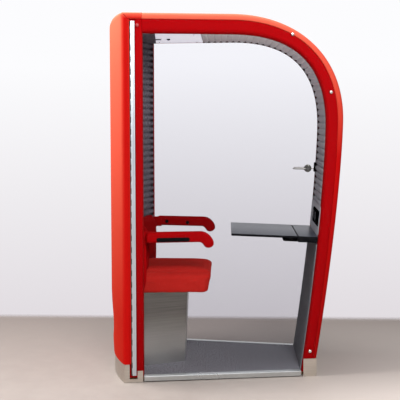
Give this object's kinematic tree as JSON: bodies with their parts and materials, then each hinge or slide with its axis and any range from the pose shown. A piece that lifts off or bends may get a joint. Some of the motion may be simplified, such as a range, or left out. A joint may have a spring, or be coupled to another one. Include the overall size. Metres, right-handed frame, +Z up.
{
  "type": "acoustic office pod",
  "caption": "One-person acoustic office pod: padded red shell with bowed back and rounded roof, glass sides with a hinged door, seat, folding armrests and a folding table.",
  "frame": {"origin": "on the floor, under the middle of the overall box", "axes": "+Z up, +X from the seat back to the table, +Y towards the door side"},
  "size_m": [1.442, 0.89, 2.2],
  "materials": {
    "red_fabric": "coarse wool upholstery over foam",
    "deep_red_fabric": "smooth wool upholstery over foam",
    "stainless": "brushed stainless sheet",
    "brushed": "dark brushed stainless sheet",
    "aluminium": "satin anodised",
    "dark_felt": "pressed felt, dark grey",
    "grey_felt": "pressed ribbed felt, mid grey",
    "carpet": "loop-pile carpet, heather grey",
    "white": "matt white powder coat",
    "black": "fine-grained black",
    "charcoal": "board with charcoal laminate and black edges",
    "glass": "clear toughened glass",
    "core": "acoustic wool core",
    "plywood": "birch plywood"
  },
  "bodies": {
    "pod": {"base_platform": "plywood", "seat_board": "plywood", "back_board": "plywood", "floor_carpet": "carpet", "rear_plinth": "stainless", "front_plinth": "stainless", "pane_cap_1": "stainless", "pane_cap_2": "stainless", "pane_cap_3": "stainless", "pane_cap_4": "stainless", "hinge_pin": "stainless", "table_hinge_pin": "stainless", "near_sill": "aluminium", "far_sill": "aluminium", "socket_panel": "aluminium", "pane_profile": "aluminium", "hinge_frame_leaf": "aluminium", "levelling_foot_1": "black", "levelling_foot_2": "black", "levelling_foot_3": "black", "levelling_foot_4": "black", "power_module": "black", "socket_1": "black", "socket_2": "black", "fan_frame": "black", "door_seal": "black", "strike_box": "black", "near_arm_bracket": "black", "far_arm_bracket": "black", "near_table_bracket": "black", "far_table_bracket": "black", "rear_shell": "red_fabric", "rear_cap": "red_fabric", "arch_shell": "red_fabric", "near_rear_stile": "deep_red_fabric", "far_rear_stile": "deep_red_fabric", "near_arch_frame": "deep_red_fabric", "far_arch_frame": "deep_red_fabric", "seat_cushion": "deep_red_fabric", "back_cushion": "deep_red_fabric", "rear_core": "core", "arch_core": "core", "rear_lining": "dark_felt", "front_lower_lining": "dark_felt", "arch_lining": "grey_felt", "ceiling_panel": "white", "near_pane": "glass", "seat_box": "brushed", "table_shelf": "charcoal"},
    "door": {"door_pane": "glass", "door_hinge_leaf": "aluminium", "latch_case": "stainless", "outer_rose": "stainless"},
    "door_lever": {"door_lever": "stainless"},
    "latch_bolt": {"latch_bolt": "stainless"},
    "table_leaf": {"table_leaf": "charcoal"},
    "near_arm": {"near_armrest": "deep_red_fabric", "near_arm_plate": "black"},
    "far_arm": {"far_armrest": "deep_red_fabric"},
    "fan_rotor": {"fan_rotor": "black"}
  },
  "joints": [
    {"name": "door_hinge", "type": "hinge", "parent": "pod", "child": "door", "pos_m": [-0.55856, 0.43582, 1.1], "axis": [0, 0, 1], "range_deg": [0, 90]},
    {"name": "lever_turn", "type": "hinge", "parent": "door", "child": "door_lever", "pos_m": [0.561, 0.282, 1.242], "axis": [-0.1396, -0.9902, 0], "range_deg": [0, 35]},
    {"name": "bolt_draw", "type": "slide", "parent": "door", "child": "latch_bolt", "axis": [-0.9902, 0.1396, 0], "range_m": [0, 0.014]},
    {"name": "leaf_fold", "type": "hinge", "parent": "pod", "child": "table_leaf", "pos_m": [0.45288, 0, 0.8598], "axis": [0, 1, 0], "range_deg": [0, 85]},
    {"name": "near_arm_fold", "type": "hinge", "parent": "pod", "child": "near_arm", "pos_m": [-0.445, -0.37942, 0.872], "axis": [0.1396, -0.9902, 0], "range_deg": [0, 90]},
    {"name": "far_arm_fold", "type": "hinge", "parent": "pod", "child": "far_arm", "pos_m": [-0.445, 0.37942, 0.872], "axis": [-0.1396, -0.9902, 0], "range_deg": [0, 90]},
    {"name": "fan_spin", "type": "hinge", "parent": "pod", "child": "fan_rotor", "pos_m": [-0.295, 0, 2.1], "axis": [0, 0, 1], "continuous": true}
  ],
  "couplings": [
    {"joint": "bolt_draw", "follows": "lever_turn", "m_per_rad": 0.022918}
  ]
}
